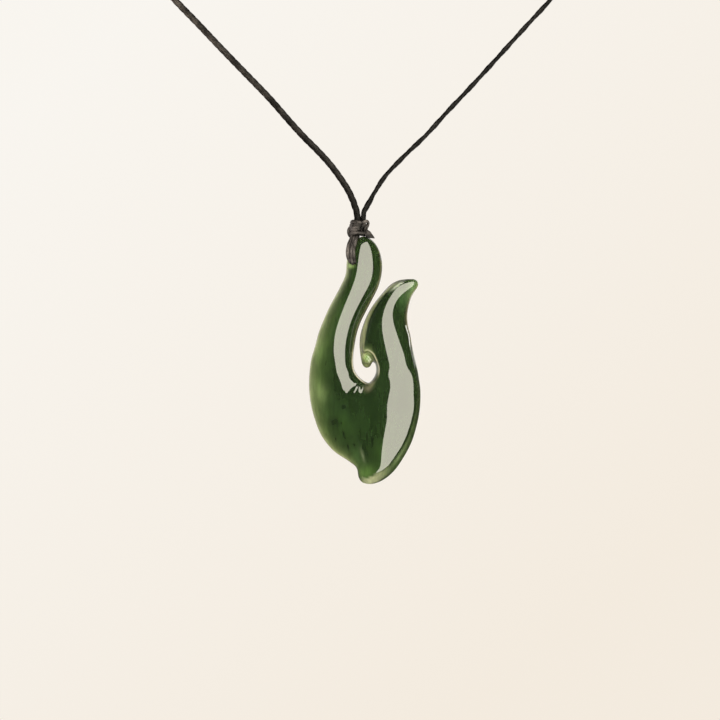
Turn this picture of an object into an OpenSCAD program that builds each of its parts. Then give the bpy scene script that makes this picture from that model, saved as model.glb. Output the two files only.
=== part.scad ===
// Hook-shaped stone pendant on a knotted cord necklace, in millimetres.
// X is to the wearer's left as seen from the front, Y runs to the back and Z is up.
// The origin is the middle of the clasp, at the top of the loop, where the necklace hangs.

/* [Stone] */
// Width of the stone across the hook
stone_w = 26.2; // [20:0.2:36]
// Height of the stone from its head to the foot of the bowl
stone_h = 58; // [44:0.5:76]
// Thickness of the stone where it is thickest
stone_t = 7.2; // [5.6:0.1:10]
// How far in from its edges the stone's dome rises
dome_in = 6; // [4:0.1:8]

/* [Hole] */
// Diameter of the hole drilled through the head
hole_d = 2.2; // [2:0.1:2.8]
// Gap all round the cord strands inside the hole
hole_gap = 0.3; // [0.2:0.05:0.4]

/* [Cord] */
// Width of the cord, which its plain tube takes as its diameter
cord_d = 1.5; // [1.2:0.1:1.6]

/* [Knot] */
// Width of the knot across its lower wrap
knot_w = 4.4; // [3.8:0.1:5.6]
// Height of the knot from the fork of the two cords to its underside
knot_h = 4.6; // [4:0.1:6]
// Depth of the knot from front to back
knot_t = 3.8; // [3.2:0.1:5]
// Gap between the knot's underside and the top of the stone's head
head_gap = 0.6; // [0.5:0.05:1.2]

/* [Hanging loop] */
// Width of the bundle of strands at its widest, in front of the head
loop_w = 2.3; // [1.8:0.1:3]
// Thickness of the bundle of strands
loop_t = 1; // [0.8:0.05:1.2]
// Gap between the strands and the face of the head
loop_gap = 0.3; // [0.2:0.05:0.6]

/* [Clasp] */
// Length of the clasp
clasp_l = 24; // [20:0.5:30]
// Diameter of the clasp
clasp_d = 4.4; // [3.4:0.1:6]
// Depth of each of the clasp's two sockets
socket_l = 4; // [3:0.5:6]
// Gap all round the cord in its socket
socket_gap = 0.05; // [0.02:0.01:0.1]

/* [Hidden] */
$fn = 48;
jade = [0.19, 0.31, 0.15];
cord_colour = [0.12, 0.11, 0.10];

// Place of the fork where the two cords meet, below the origin
fork_z = -163;

// Place of the hole in the stone, as shares of the stone's width from its left edge and height from its foot
hole_u = 0.402;
hole_v = 0.904;
// How far to the left of the fork the hole lies
hole_left = 1.8;
hole_x = -hole_left;
hole_z = fork_z - knot_h - head_gap - (1 - hole_v) * stone_h;

// Columns of a section: where it meets the inner and the outer edge, where between them it is
// thickest, its thickness, and how far it bows upwards on its way in, to pass above the notch
IN_U = 0;
IN_V = 1;
OUT_U = 2;
OUT_V = 3;
CROWN = 4;
DEPTH = 5;
BOW = 6;
// Sections across the stone, from the head down the shank, round the notch, through the curl
// and up the arm to the point. Edges are shares of stone_w and stone_h, depths shares of stone_t.
SECTIONS = [
    [0.494, 1.000, 0.471, 0.998, 0.50, 0.14, 0],
    [0.534, 0.996, 0.435, 0.991, 0.50, 0.38, 0],
    [0.575, 0.984, 0.400, 0.977, 0.50, 0.56, 0],
    [0.610, 0.964, 0.368, 0.955, 0.50, 0.68, 0],
    [0.637, 0.937, 0.346, 0.929, 0.50, 0.76, 0],
    [0.655, 0.899, 0.336, 0.893, 0.50, 0.81, 0],
    [0.652, 0.850, 0.325, 0.846, 0.50, 0.84, 0],
    [0.622, 0.798, 0.278, 0.798, 0.50, 0.86, 0],
    [0.566, 0.747, 0.227, 0.755, 0.50, 0.88, 0],
    [0.512, 0.700, 0.180, 0.715, 0.50, 0.90, 0],
    [0.462, 0.654, 0.130, 0.664, 0.50, 0.92, 0],
    [0.429, 0.609, 0.087, 0.615, 0.50, 0.94, 0],
    [0.410, 0.563, 0.054, 0.559, 0.50, 0.96, 0],
    [0.399, 0.522, 0.020, 0.506, 0.50, 0.98, 0],
    [0.398, 0.486, 0.003, 0.449, 0.49, 0.99, 0],
    [0.408, 0.462, 0.000, 0.389, 0.48, 1.00, 0],
    [0.431, 0.443, 0.013, 0.332, 0.47, 1.00, 0],
    [0.458, 0.429, 0.045, 0.271, 0.46, 1.00, 0],
    [0.489, 0.418, 0.108, 0.198, 0.45, 1.00, 0],
    [0.521, 0.411, 0.215, 0.136, 0.44, 1.00, 0],
    [0.541, 0.411, 0.359, 0.091, 0.43, 0.99, 0],
    [0.550, 0.414, 0.425, 0.065, 0.43, 0.98, 0],
    [0.561, 0.419, 0.446, 0.026, 0.43, 0.98, 0],
    [0.571, 0.425, 0.485, 0.005, 0.44, 0.98, 0],
    [0.582, 0.432, 0.566, 0.000, 0.44, 0.98, 0],
    [0.592, 0.441, 0.664, 0.016, 0.44, 0.98, 0],
    [0.601, 0.455, 0.763, 0.053, 0.45, 0.98, 0],
    [0.601, 0.472, 0.853, 0.111, 0.46, 0.97, 0],
    [0.592, 0.487, 0.925, 0.175, 0.47, 0.96, 0.03],
    [0.573, 0.493, 0.972, 0.247, 0.48, 0.95, 0.07],
    [0.563, 0.490, 0.993, 0.300, 0.49, 0.94, 0.095],
    [0.545, 0.480, 1.000, 0.348, 0.50, 0.93, 0.105],
    [0.525, 0.472, 0.997, 0.389, 0.50, 0.92, 0.115],
    [0.504, 0.473, 0.987, 0.421, 0.50, 0.92, 0.11],
    [0.485, 0.484, 0.976, 0.453, 0.50, 0.91, 0.095],
    [0.471, 0.500, 0.961, 0.486, 0.50, 0.90, 0.07],
    [0.460, 0.526, 0.943, 0.520, 0.50, 0.89, 0.035],
    [0.453, 0.565, 0.922, 0.561, 0.50, 0.87, 0.01],
    [0.461, 0.605, 0.902, 0.603, 0.50, 0.84, 0],
    [0.485, 0.644, 0.882, 0.640, 0.50, 0.81, 0],
    [0.521, 0.684, 0.880, 0.680, 0.50, 0.77, 0],
    [0.575, 0.726, 0.894, 0.719, 0.50, 0.72, 0],
    [0.651, 0.770, 0.916, 0.753, 0.50, 0.66, 0],
    [0.727, 0.806, 0.943, 0.777, 0.50, 0.59, 0],
    [0.799, 0.824, 0.969, 0.794, 0.50, 0.51, 0],
    [0.862, 0.829, 0.980, 0.808, 0.50, 0.41, 0],
    [0.916, 0.830, 0.972, 0.821, 0.50, 0.28, 0],
    [0.938, 0.830, 0.956, 0.827, 0.50, 0.12, 0],
];
// Steps from one section to the next, points round each section and how square its dome is
SECTION_STEPS = 2;
SECTION_SIDES = 24;
DOME = 2.2;
// How far inside the dome's sharp foot the stone's edge lies, which leaves the edge blunt
BLUNT = 0.05;

// Route of the centre of each cord, from inside the knot up and round to its socket in the clasp.
// The first stretch follows what shows and the rest closes a loop of about 450 mm.
SHOWN_LEFT = [
    [-1.0, -164.6], [-1.0, -163.2], [-1.2, -162], [-1.6, -160.8], [-2.1, -159.4], [-3.6, -156.4],
    [-6.9, -151.7], [-10.2, -148], [-13.5, -144.7], [-16.8, -141.1], [-21.7, -135.5], [-27.4, -129.6],
    [-33.3, -123.5], [-38.4, -118.1], [-43.8, -112.5],
];
SHOWN_RIGHT = [
    [0.7, -164.6], [0.7, -163.2], [0.9, -162.2], [1.5, -161.1], [2.3, -159.5], [3.2, -157.6],
    [5.8, -153.6], [10.5, -148.7], [15.2, -144.2], [20.3, -138.6], [25.7, -132.9], [31.1, -127],
    [38.9, -118.4], [44.3, -112.5],
];
ROUND_NECK = [
    [49, -106.5], [54, -99.5], [58.5, -91.5], [62, -82.5], [64, -73], [64.5, -63.5], [63.5, -54],
    [60.8, -44.5], [56.8, -35.5], [51.5, -27], [45, -19.5], [37.5, -12.8], [29, -6.9], [21, -2.6],
    [15, -0.5],
];
CORD_SIDES = 8;
// Longest step between two rings of a cord's tube
RING_STEP = 6.2;
socket_end = clasp_l / 2 - socket_l;

// Radius of the clasp's mouths and length of its tapered ends, as shares of its diameter
clasp_mouth = 0.36 * clasp_d;
clasp_taper = 0.3 * clasp_d;

// Columns of a ring of the hanging loop: height above the hole, distance out in front of it and
// distance to the side, then the bundle's width and thickness there
RISE = 0;
OUT = 1;
SIDE = 2;
WIDE = 3;
THICK = 4;
// The front half of the hanging loop, from inside the knot down to the middle of the hole. Rises
// are shares of the way to the knot's underside, distances out shares of loop_out, the sideways
// distances and widths shares of loop_w and the thicknesses shares of loop_t.
LOOP_RINGS = [
    [1.10, 0.36, 0.14, 0.80, 1.0],
    [0.98, 0.56, 0.14, 0.90, 1.0],
    [0.84, 0.80, 0.02, 0.98, 1.0],
    [0.68, 0.95, -0.10, 1.00, 1.0],
    [0.46, 1.00, -0.26, 1.00, 1.0],
    [0.28, 1.00, -0.30, 0.95, 1.0],
    [0.17, 0.99, -0.26, 0.88, 1.0],
    [0.08, 0.94, -0.15, 0.80, 1.0],
    [0.02, 0.85, -0.05, 0.72, 1.1],
];
LOOP_SIDES = 12;
// Share of the stone's thickness that its face stands in front of its middle, beside the hole
FACE_OUT = 0.365;
loop_out = FACE_OUT * stone_t + loop_gap + loop_t / 2;
loop_rise = head_gap + (1 - hole_v) * stone_h;
hole_bundle_d = hole_d - 2 * hole_gap;

// Columns of a wrap of the knot: its middle as shares of knot_w from the fork and of knot_h down
// from it, its half width and half depth as shares of knot_w and knot_t, its height and the
// strand's thickness as shares of knot_h, and its tilt in degrees
MID_X = 0;
DOWN = 1;
HALF_W = 2;
HALF_D = 3;
TALL = 4;
STRAND = 5;
TILT = 6;
WRAPS = [
    [-0.16, 0.32, 0.31, 0.33, 0.28, 0.20, 3],
    [-0.19, 0.64, 0.40, 0.42, 0.40, 0.16, -5],
    [-0.16, 0.90, 0.46, 0.40, 0.20, 0.16, 2],
];
WRAP_STEPS = 14;
// Small loop at the knot's upper right and the cut end below it: shares of knot_w, knot_t forwards
// and knot_h down, with the strand's half width as a share of knot_h
SIDE_LOOP = [
    [0.00, 0.30, 0.42, 0.10], [0.20, 0.38, 0.34, 0.12], [0.34, 0.36, 0.44, 0.12],
    [0.33, 0.38, 0.62, 0.12], [0.20, 0.42, 0.74, 0.11],
];
TAIL = [
    [0.18, 0.36, 0.76, 0.11], [0.34, 0.38, 0.84, 0.13], [0.52, 0.34, 1.00, 0.10], [0.68, 0.30, 1.13, 0.03],
];
// Heart of the knot, inside the wraps
CORE = [[-0.10, 0.18, 0.20], [-0.16, 0.52, 0.30], [-0.14, 0.70, 0.28]];

// Catmull-Rom curve between rows b and c at share t, with a and d as their neighbours
function blend(a, b, c, d, t) =
    (2 * b + (c - a) * t + (2 * a - 5 * b + 4 * c - d) * t * t + (3 * b - a - 3 * c + d) * t * t * t) / 2;

function row(rows, i) = rows[max(0, min(len(rows) - 1, i))];

// Rows with steps(i) - 1 more blended in between each row and the next
function smoothed(rows, steps) = [
    for (i = [0 : len(rows) - 2], k = [0 : steps - 1])
        blend(row(rows, i - 1), rows[i], rows[i + 1], row(rows, i + 2), k / steps),
    rows[len(rows) - 1],
];

function reversed(list) = [for (i = [len(list) - 1 : -1 : 0]) list[i]];

function signed_power(value, power) = sign(value) * pow(abs(value), power);

// Closed solid through rings of points that all run round the same way
module skin(rings) {
    sides = len(rings[0]);
    last = (len(rings) - 1) * sides;
    walls = [
        for (i = [0 : len(rings) - 2], k = [0 : sides - 1])
            let (a = i * sides + k, b = i * sides + (k + 1) % sides)
                each [[a, b + sides, b], [a, a + sides, b + sides]],
    ];
    first_cap = [for (k = [0 : sides - 1]) k];
    last_cap = [for (k = [sides - 1 : -1 : 0]) last + k];
    polyhedron([for (ring = rings) each ring], concat(walls, [first_cap, last_cap]), convexity = 10);
}

// Where a point given in shares of the stone lies, as [x, z]
function in_place(share) = [
    hole_x + (share[0] - hole_u) * stone_w,
    hole_z + (share[1] - hole_v) * stone_h,
];

// Point on section s, from -1 at the inner edge over 0 at the crown to 1 at the outer edge
function plan_point(s, across) =
    let (
        inner = [s[IN_U], s[IN_V]],
        outer = [s[OUT_U], s[OUT_V]],
        crown = inner + (outer - inner) * s[CROWN],
        elbow = (inner + crown) / 2 + [0, s[BOW]],
        q = 1 + across
    )
    in_place(
        across >= 0
            ? crown + (outer - crown) * across
            : (1 - q) * (1 - q) * inner + 2 * q * (1 - q) * elbow + q * q * crown
    );

function distance_to(p, a, b) =
    let (along = b - a, share = max(0, min(1, (p - a) * along / (along * along))))
        norm(p - a - share * along);

function edge_distance(p, edge) =
    min([for (i = [0 : len(edge) - 1]) distance_to(p, edge[i], edge[(i + 1) % len(edge)])]);

// Height of the dome's face over the stone's middle plane, a distance in from the nearest edge
function face_height(distance, depth) =
    depth * stone_t / 2 * pow(1 - pow(1 - min(1, (distance + BLUNT) / dome_in), DOME), 1 / DOME);

function stone_ring(s, edge) =
    let (
        back = [
            for (k = [0 : SECTION_SIDES / 2 - 1])
                let (
                    p = plan_point(s, signed_power(cos(360 * (k + 0.5) / SECTION_SIDES), 2 / DOME)),
                    height = face_height(edge_distance(p, edge), s[DEPTH])
                )
                [p[0], height, p[1]]
        ]
    )
    concat(back, [for (p = reversed(back)) [p[0], -p[1], p[2]]]);

module stone() {
    rows = smoothed(SECTIONS, SECTION_STEPS);
    edge = concat(
        [for (s = rows) in_place([s[IN_U], s[IN_V]])],
        reversed([for (s = rows) in_place([s[OUT_U], s[OUT_V]])])
    );
    color(jade)
    difference() {
        skin([for (s = rows) stone_ring(s, edge)]);
        translate([hole_x, 0, hole_z])
            rotate([90, 0, 0])
                cylinder(h = 2 * stone_t, d = hole_d, center = true);
    }
}

// Route with more points where its steps are longer than RING_STEP
function stepped(route) = [
    for (i = [0 : len(route) - 2])
        let (steps = ceil(norm(route[i + 1] - route[i]) / RING_STEP))
            for (k = [0 : steps - 1])
                blend(row(route, i - 1), route[i], route[i + 1], row(route, i + 2), k / steps),
    route[len(route) - 1],
];

function ring_across(at, tangent, diameter) = [
    for (k = [0 : CORD_SIDES - 1])
        let (angle = 360 * (k + 0.5) / CORD_SIDES, side = [tangent[1], -tangent[0]] * cos(angle))
            [at[0] + side[0] * diameter / 2, sin(angle) * diameter / 2, at[1] + side[1] * diameter / 2]
];

// Plain tube along a route of [x, z] points, all in the plane of the necklace
module tube(route, diameter) {
    skin([
        for (i = [0 : len(route) - 1])
            let (along = row(route, i + 1) - row(route, i - 1))
                ring_across(route[i], along / norm(along), diameter)
    ]);
}

function on_side(route, side) = [for (p = route) [side * p[0], p[1]]];

// End of a cord's route: straight out of the clasp's mouth and down to the bottom of its socket
function into_clasp(side) = [[side * (clasp_l / 2 + 0.5), 0], [side * clasp_l / 2, 0], [side * socket_end, 0]];

module cord(shown, side) {
    color(cord_colour)
        tube(concat(stepped(concat(shown, on_side(ROUND_NECK, side))), into_clasp(side)), cord_d);
}

module cord_left() {
    cord(SHOWN_LEFT, -1);
}

module cord_right() {
    cord(SHOWN_RIGHT, 1);
}

function knot_point(across, forwards, down) = [across * knot_w, -forwards * knot_t, fork_z - down * knot_h];

// One turn of cord round the knot: flat, and as tall as its row says
module wrap(w) {
    module bead(angle) {
        translate(knot_point(w[MID_X], 0, w[DOWN]))
            rotate([0, w[TILT], 0])
                translate([w[HALF_W] * knot_w * cos(angle), w[HALF_D] * knot_t * sin(angle), 0])
                    scale([w[STRAND], w[STRAND], w[TALL]] * knot_h)
                        sphere(d = 1, $fn = 10);
    }
    for (k = [0 : WRAP_STEPS - 1])
        hull() {
            bead(360 * k / WRAP_STEPS);
            bead(360 * (k + 1) / WRAP_STEPS);
        }
}

// Strand through a list of rows in the knot's shares
module strand(rows) {
    module bead(r) {
        translate(knot_point(r[0], r[1], r[2]))
            sphere(r = r[3] * knot_h, $fn = 10);
    }
    for (i = [0 : len(rows) - 2])
        hull() {
            bead(rows[i]);
            bead(rows[i + 1]);
        }
}

module knot() {
    color(cord_colour)
    union() {
        for (w = WRAPS) wrap(w);
        strand(SIDE_LOOP);
        strand(TAIL);
        hull()
            for (c = CORE)
                translate(knot_point(c[0], 0, c[1]))
                    scale([knot_w, knot_t, knot_h] * c[2])
                        sphere(r = 1, $fn = 16);
    }
}

// Centre of a ring of the hanging loop, with side as -1 in front of the stone and 1 behind it
function loop_centre(r, side) = [
    hole_x + r[SIDE] * loop_w,
    side * r[OUT] * loop_out,
    hole_z + r[RISE] * loop_rise,
];

function loop_rings() =
    let (
        half = smoothed(LOOP_RINGS, 2),
        hole_row = [0, 0.55, 0, hole_bundle_d / loop_w, hole_bundle_d / loop_t],
        front = concat(half, [hole_row]),
        centres = concat(
            [for (r = front) loop_centre(r, -1)],
            [for (r = reversed(front)) loop_centre(r, 1)]
        ),
        rows = concat(front, reversed(front))
    )
    [
        for (i = [0 : len(rows) - 1])
            let (
                along = row(centres, i + 1) - row(centres, i - 1),
                outwards = cross(along, [1, 0, 0]) / norm(cross(along, [1, 0, 0]))
            )
            [
                for (k = [0 : LOOP_SIDES - 1])
                    let (angle = 360 * (k + 0.5) / LOOP_SIDES)
                        centres[i]
                        + [1, 0, 0] * cos(angle) * rows[i][WIDE] * loop_w / 2
                        + outwards * sin(angle) * rows[i][THICK] * loop_t / 2
            ]
    ];

module hanging_loop() {
    color(cord_colour) skin(loop_rings());
}

module clasp() {
    color([0.72, 0.70, 0.64])
        rotate([0, 90, 0])
            difference() {
                rotate_extrude()
                    polygon([
                        [0, -clasp_l / 2],
                        [clasp_mouth, -clasp_l / 2],
                        [clasp_d / 2, -clasp_l / 2 + clasp_taper],
                        [clasp_d / 2, clasp_l / 2 - clasp_taper],
                        [clasp_mouth, clasp_l / 2],
                        [0, clasp_l / 2],
                    ]);
                for (side = [-1, 1])
                    translate([0, 0, side * clasp_l / 2])
                        cylinder(h = 2 * socket_l, d = cord_d + 2 * socket_gap, center = true);
            }
}

stone();
cord_left();
cord_right();
knot();
hanging_loop();
clasp();
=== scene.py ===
import math

import bmesh
import bpy
import numpy as np
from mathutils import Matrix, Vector
from mathutils.bvhtree import BVHTree


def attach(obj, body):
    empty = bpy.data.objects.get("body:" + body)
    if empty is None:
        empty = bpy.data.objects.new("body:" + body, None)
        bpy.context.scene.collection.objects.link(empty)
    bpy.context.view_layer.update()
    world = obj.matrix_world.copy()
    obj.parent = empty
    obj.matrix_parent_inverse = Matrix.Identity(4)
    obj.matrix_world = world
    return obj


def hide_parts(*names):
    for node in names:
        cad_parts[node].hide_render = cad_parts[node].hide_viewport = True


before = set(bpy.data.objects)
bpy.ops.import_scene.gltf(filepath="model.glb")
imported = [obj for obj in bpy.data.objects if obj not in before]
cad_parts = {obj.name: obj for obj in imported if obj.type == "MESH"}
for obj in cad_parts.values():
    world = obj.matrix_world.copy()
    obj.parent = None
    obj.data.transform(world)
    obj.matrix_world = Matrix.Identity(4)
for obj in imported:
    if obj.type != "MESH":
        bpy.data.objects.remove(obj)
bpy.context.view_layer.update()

# Lengths are in mm until a mesh is made of them
MM = 0.001
# Where the two sides of the cord part: its height under the clasp and its pixel in the photograph
FORK_Z = -163.0
FORK_PX = (361.5, 215)
PIXEL = 0.235
FRAME_PX = 720
STONE_W, STONE_H = 26.2, 58.0
KNOT_H, HEAD_GAP = 4.6, 0.6
# The CAD's hole in the stone's head, as shares of the stone's width and height
HOLE_U, HOLE_V = 0.402, 0.904
HOLE_X = -1.8
HOLE_Z = FORK_Z - KNOT_H - HEAD_GAP - (1 - HOLE_V) * STONE_H


def from_photo(x, y):
    """The place in the plane of the necklace, in mm, that shows at a pixel of the photograph."""
    return np.array([(x - FORK_PX[0]) * PIXEL, FORK_Z - (y - FORK_PX[1]) * PIXEL])


def to_photo(points):
    """The pixels, as x and y, at which points in mm show."""
    return points[:, 0] / PIXEL + FORK_PX[0], FORK_PX[1] - (points[:, 2] - FORK_Z) / PIXEL


# Camera, level with the middle of the view and far enough off for a flat picture
CAMERA_AWAY = 1.2
SENSOR = 36
VIEW_WIDE = FRAME_PX * PIXEL * MM
view_x, view_z = from_photo(FRAME_PX / 2, FRAME_PX / 2) * MM
camera = bpy.data.objects.new("camera", bpy.data.cameras.new("camera"))
bpy.context.scene.collection.objects.link(camera)
camera.location = (view_x, -CAMERA_AWAY, view_z)
camera.rotation_euler = (math.pi / 2, 0, 0)
camera.data.sensor_width = SENSOR
camera.data.lens = SENSOR * CAMERA_AWAY / VIEW_WIDE
camera.data.clip_start, camera.data.clip_end = 0.05, 30
camera.data.dof.use_dof = False
bpy.context.scene.camera = camera
bpy.context.scene.view_settings.view_transform = "Standard"


# Curves and sweeps

def blended(rows, steps):
    """Catmull-Rom through the rows, with steps - 1 more rows between each and the next."""
    rows = np.asarray(rows, float)
    before = rows[np.maximum(np.arange(len(rows) - 1) - 1, 0)]
    after = rows[np.minimum(np.arange(len(rows) - 1) + 2, len(rows) - 1)]
    b, c = rows[:-1], rows[1:]
    parts = []
    for k in range(steps):
        t = k / steps
        parts.append((2 * b + (c - before) * t + (2 * before - 5 * b + 4 * c - after) * t * t
                      + (3 * b - before - 3 * c + after) * t ** 3) / 2)
    out = np.stack(parts, axis=1).reshape(-1, rows.shape[1])
    return np.vstack([out, rows[-1:]])


def evenly(points, step, columns=3):
    """Rows again about step apart, measured along their first few columns."""
    long = np.concatenate([[0], np.cumsum(np.linalg.norm(np.diff(points[:, :columns], axis=0), axis=1))])
    at = np.linspace(0, long[-1], max(2, math.ceil(long[-1] / step) + 1))
    return np.stack([np.interp(at, long, points[:, k]) for k in range(points.shape[1])], axis=1), at


def unit(v):
    """Vectors of length 1 the same way."""
    return v / np.maximum(np.linalg.norm(v, axis=-1, keepdims=True), 1e-12)


def along(points, closed=False):
    """The way the line runs at each of its points."""
    if closed:
        return unit(np.roll(points, -1, axis=0) - np.roll(points, 1, axis=0))
    return unit(np.gradient(points, axis=0))


def mesh_object(name, verts, faces, uv=None):
    """A smooth mesh from points in mm, with uv as one pair for each corner of each face."""
    mesh = bpy.data.meshes.new(name)
    mesh.from_pydata((np.asarray(verts) * MM).tolist(), [], [tuple(int(i) for i in f) for f in faces])
    mesh.polygons.foreach_set("use_smooth", np.ones(len(mesh.polygons), bool))
    if uv is not None:
        layer = mesh.uv_layers.new(name="along")
        layer.data.foreach_set("uv", np.asarray(uv, np.float32).ravel())
    mesh.update()
    obj = bpy.data.objects.new(name, mesh)
    bpy.context.scene.collection.objects.link(obj)
    return obj


def swept(points, out, wide, thick, sides, closed=False, square=1.0, relief=None, start=0.0):
    """Points, faces and uv of a flat strand. out is the way its broad face looks at each point, wide and
    thick its half sizes there, and relief(at, angle) scales a point's distance from the middle."""
    n = len(points)
    t = along(points, closed)
    out = unit(out - (out * t).sum(1, keepdims=True) * t)
    side = np.cross(t, out)
    angle = 2 * math.pi * np.arange(sides) / sides
    c, s = (np.sign(wave) * np.abs(wave) ** square for wave in (np.cos(angle), np.sin(angle)))
    at = start + np.concatenate([[0], np.cumsum(np.linalg.norm(np.diff(points, axis=0), axis=1))])
    scale = relief(at[:, None], angle[None]) if relief else np.ones((n, sides))
    wide, thick = np.broadcast_to(wide, n), np.broadcast_to(thick, n)
    ring = (side[:, None] * (wide[:, None] * c * scale)[..., None]
            + out[:, None] * (thick[:, None] * s * scale)[..., None])
    verts = (points[:, None] + ring).reshape(-1, 3)
    faces, uv = [], []
    rings = n if closed else n - 1
    total = at[-1] + (np.linalg.norm(points[0] - points[-1]) if closed else 0)
    ends = np.append(at, total)
    for i in range(rings):
        for k in range(sides):
            a, b = i * sides + k, i * sides + (k + 1) % sides
            c2, d = ((i + 1) % n) * sides + (k + 1) % sides, ((i + 1) % n) * sides + k
            faces.append((a, b, c2, d))
            uv += [(ends[i], k / sides), (ends[i], (k + 1) / sides),
                   (ends[i + 1], (k + 1) / sides), (ends[i + 1], k / sides)]
    if not closed:
        for at_end, order in ((0, range(sides - 1, -1, -1)), (n - 1, range(sides))):
            faces.append(tuple(at_end * sides + k for k in order))
            uv += [(ends[at_end], k / sides) for k in order]
    return verts, faces, uv


def joined(parts):
    """One set of points, faces and uv from several."""
    verts, faces, uv, first = [], [], [], 0
    for v, f, u in parts:
        verts.append(v)
        faces += [tuple(i + first for i in face) for face in f]
        uv += u
        first += len(v)
    return np.vstack(verts), faces, uv


def outward(obj, clean=False):
    """Turns every face outward, after a clean-up of loose points and of edges without length."""
    bm = bmesh.new()
    bm.from_mesh(obj.data)
    if clean:
        bmesh.ops.delete(bm, geom=[v for v in bm.verts if not v.link_faces], context="VERTS")
        bmesh.ops.dissolve_degenerate(bm, dist=1e-7, edges=bm.edges)
    bmesh.ops.recalc_face_normals(bm, faces=bm.faces)
    bm.to_mesh(obj.data)
    bm.free()


# Necklace cords. The routes are those of the CAD: what shows first, then the round of the neck.
SHOWN_LEFT = [
    [-1.0, -164.6], [-1.0, -163.2], [-1.2, -162], [-1.6, -160.8], [-2.1, -159.4], [-3.6, -156.4],
    [-6.9, -151.7], [-10.2, -148], [-13.5, -144.7], [-16.8, -141.1], [-21.7, -135.5], [-27.4, -129.6],
    [-33.3, -123.5], [-38.4, -118.1], [-43.8, -112.5],
]
SHOWN_RIGHT = [
    [0.4, -164.6], [0.46, -163.2], [0.62, -162.2], [1.2, -161.1], [2.1, -159.5], [3.15, -157.6],
    [5.8, -153.6], [10.5, -148.7], [15.2, -144.2], [20.3, -138.6], [25.7, -132.9], [31.1, -127],
    [38.9, -118.4], [44.3, -112.5],
]
ROUND_NECK = [
    [49, -106.5], [54, -99.5], [58.5, -91.5], [62, -82.5], [64, -73], [64.5, -63.5], [63.5, -54],
    [60.8, -44.5], [56.8, -35.5], [51.5, -27], [45, -19.5], [37.5, -12.8], [29, -6.9], [21, -2.6],
    [15, -0.5],
]
CLASP_L, SOCKET_L = 24.0, 4.0
CORD_STEP, CORD_SIDES, ROUTE_BLEND = 0.16, 20, 24
# Three plies laid round each other once in this length, and how deep the grooves between them are
PLIES, LAY, GROOVE = 3, 5.8, 0.15
# Near the clasp the flat cord turns round over this length
TAPER = 8


def plies(at, angle):
    phase = PLIES * (angle - 2 * math.pi * at / LAY) / 2
    return 1 - GROOVE * (1 - np.abs(np.sin(phase))) ** 2


def necklace_cord(name, shown, side, turn, flat):
    """turn gives how far the flat cord is turned about its own line, in degrees, at each mm along it."""
    mouth = CLASP_L / 2
    socket = [[side * x, 0] for x in (mouth + 0.5, mouth, mouth - SOCKET_L + 0.1)]
    route = [*shown, *[[side * x, z] for x, z in ROUND_NECK], *socket]
    line = blended(route, ROUTE_BLEND)
    points, at = evenly(np.stack([line[:, 0], np.zeros(len(line)), line[:, 1]], axis=1), CORD_STEP)
    t = along(points)
    face = np.array([0.0, -1.0, 0.0])
    across = np.cross(t, face)
    angle = np.radians(turn(at))[:, None]
    out = face * np.cos(angle) + across * np.sin(angle)
    wide, thick = flat
    near_clasp = np.clip((at[-1] - at - SOCKET_L - 1) / TAPER, 0, 1)
    wide = thick + (wide - thick) * near_clasp
    verts, faces, uv = swept(points, out, wide, thick, CORD_SIDES, relief=plies)
    obj = mesh_object(name, verts, faces, uv)
    outward(obj)
    return obj


def left_turn(at):
    return 6 * np.sin(at / 7)


def right_turn(at):
    """The right cord soon shows its edge, and twists back and forth."""
    return 28 + 40 * np.clip((at - 1) / 6, 0, 1) + 16 * np.sin(at * 2 * math.pi / 6.1)


left_cord = necklace_cord("cord_left_laid", SHOWN_LEFT, -1, left_turn, (0.79, 0.6))
right_cord = necklace_cord("cord_right_laid", SHOWN_RIGHT, 1, right_turn, (0.75, 0.5))


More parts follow.
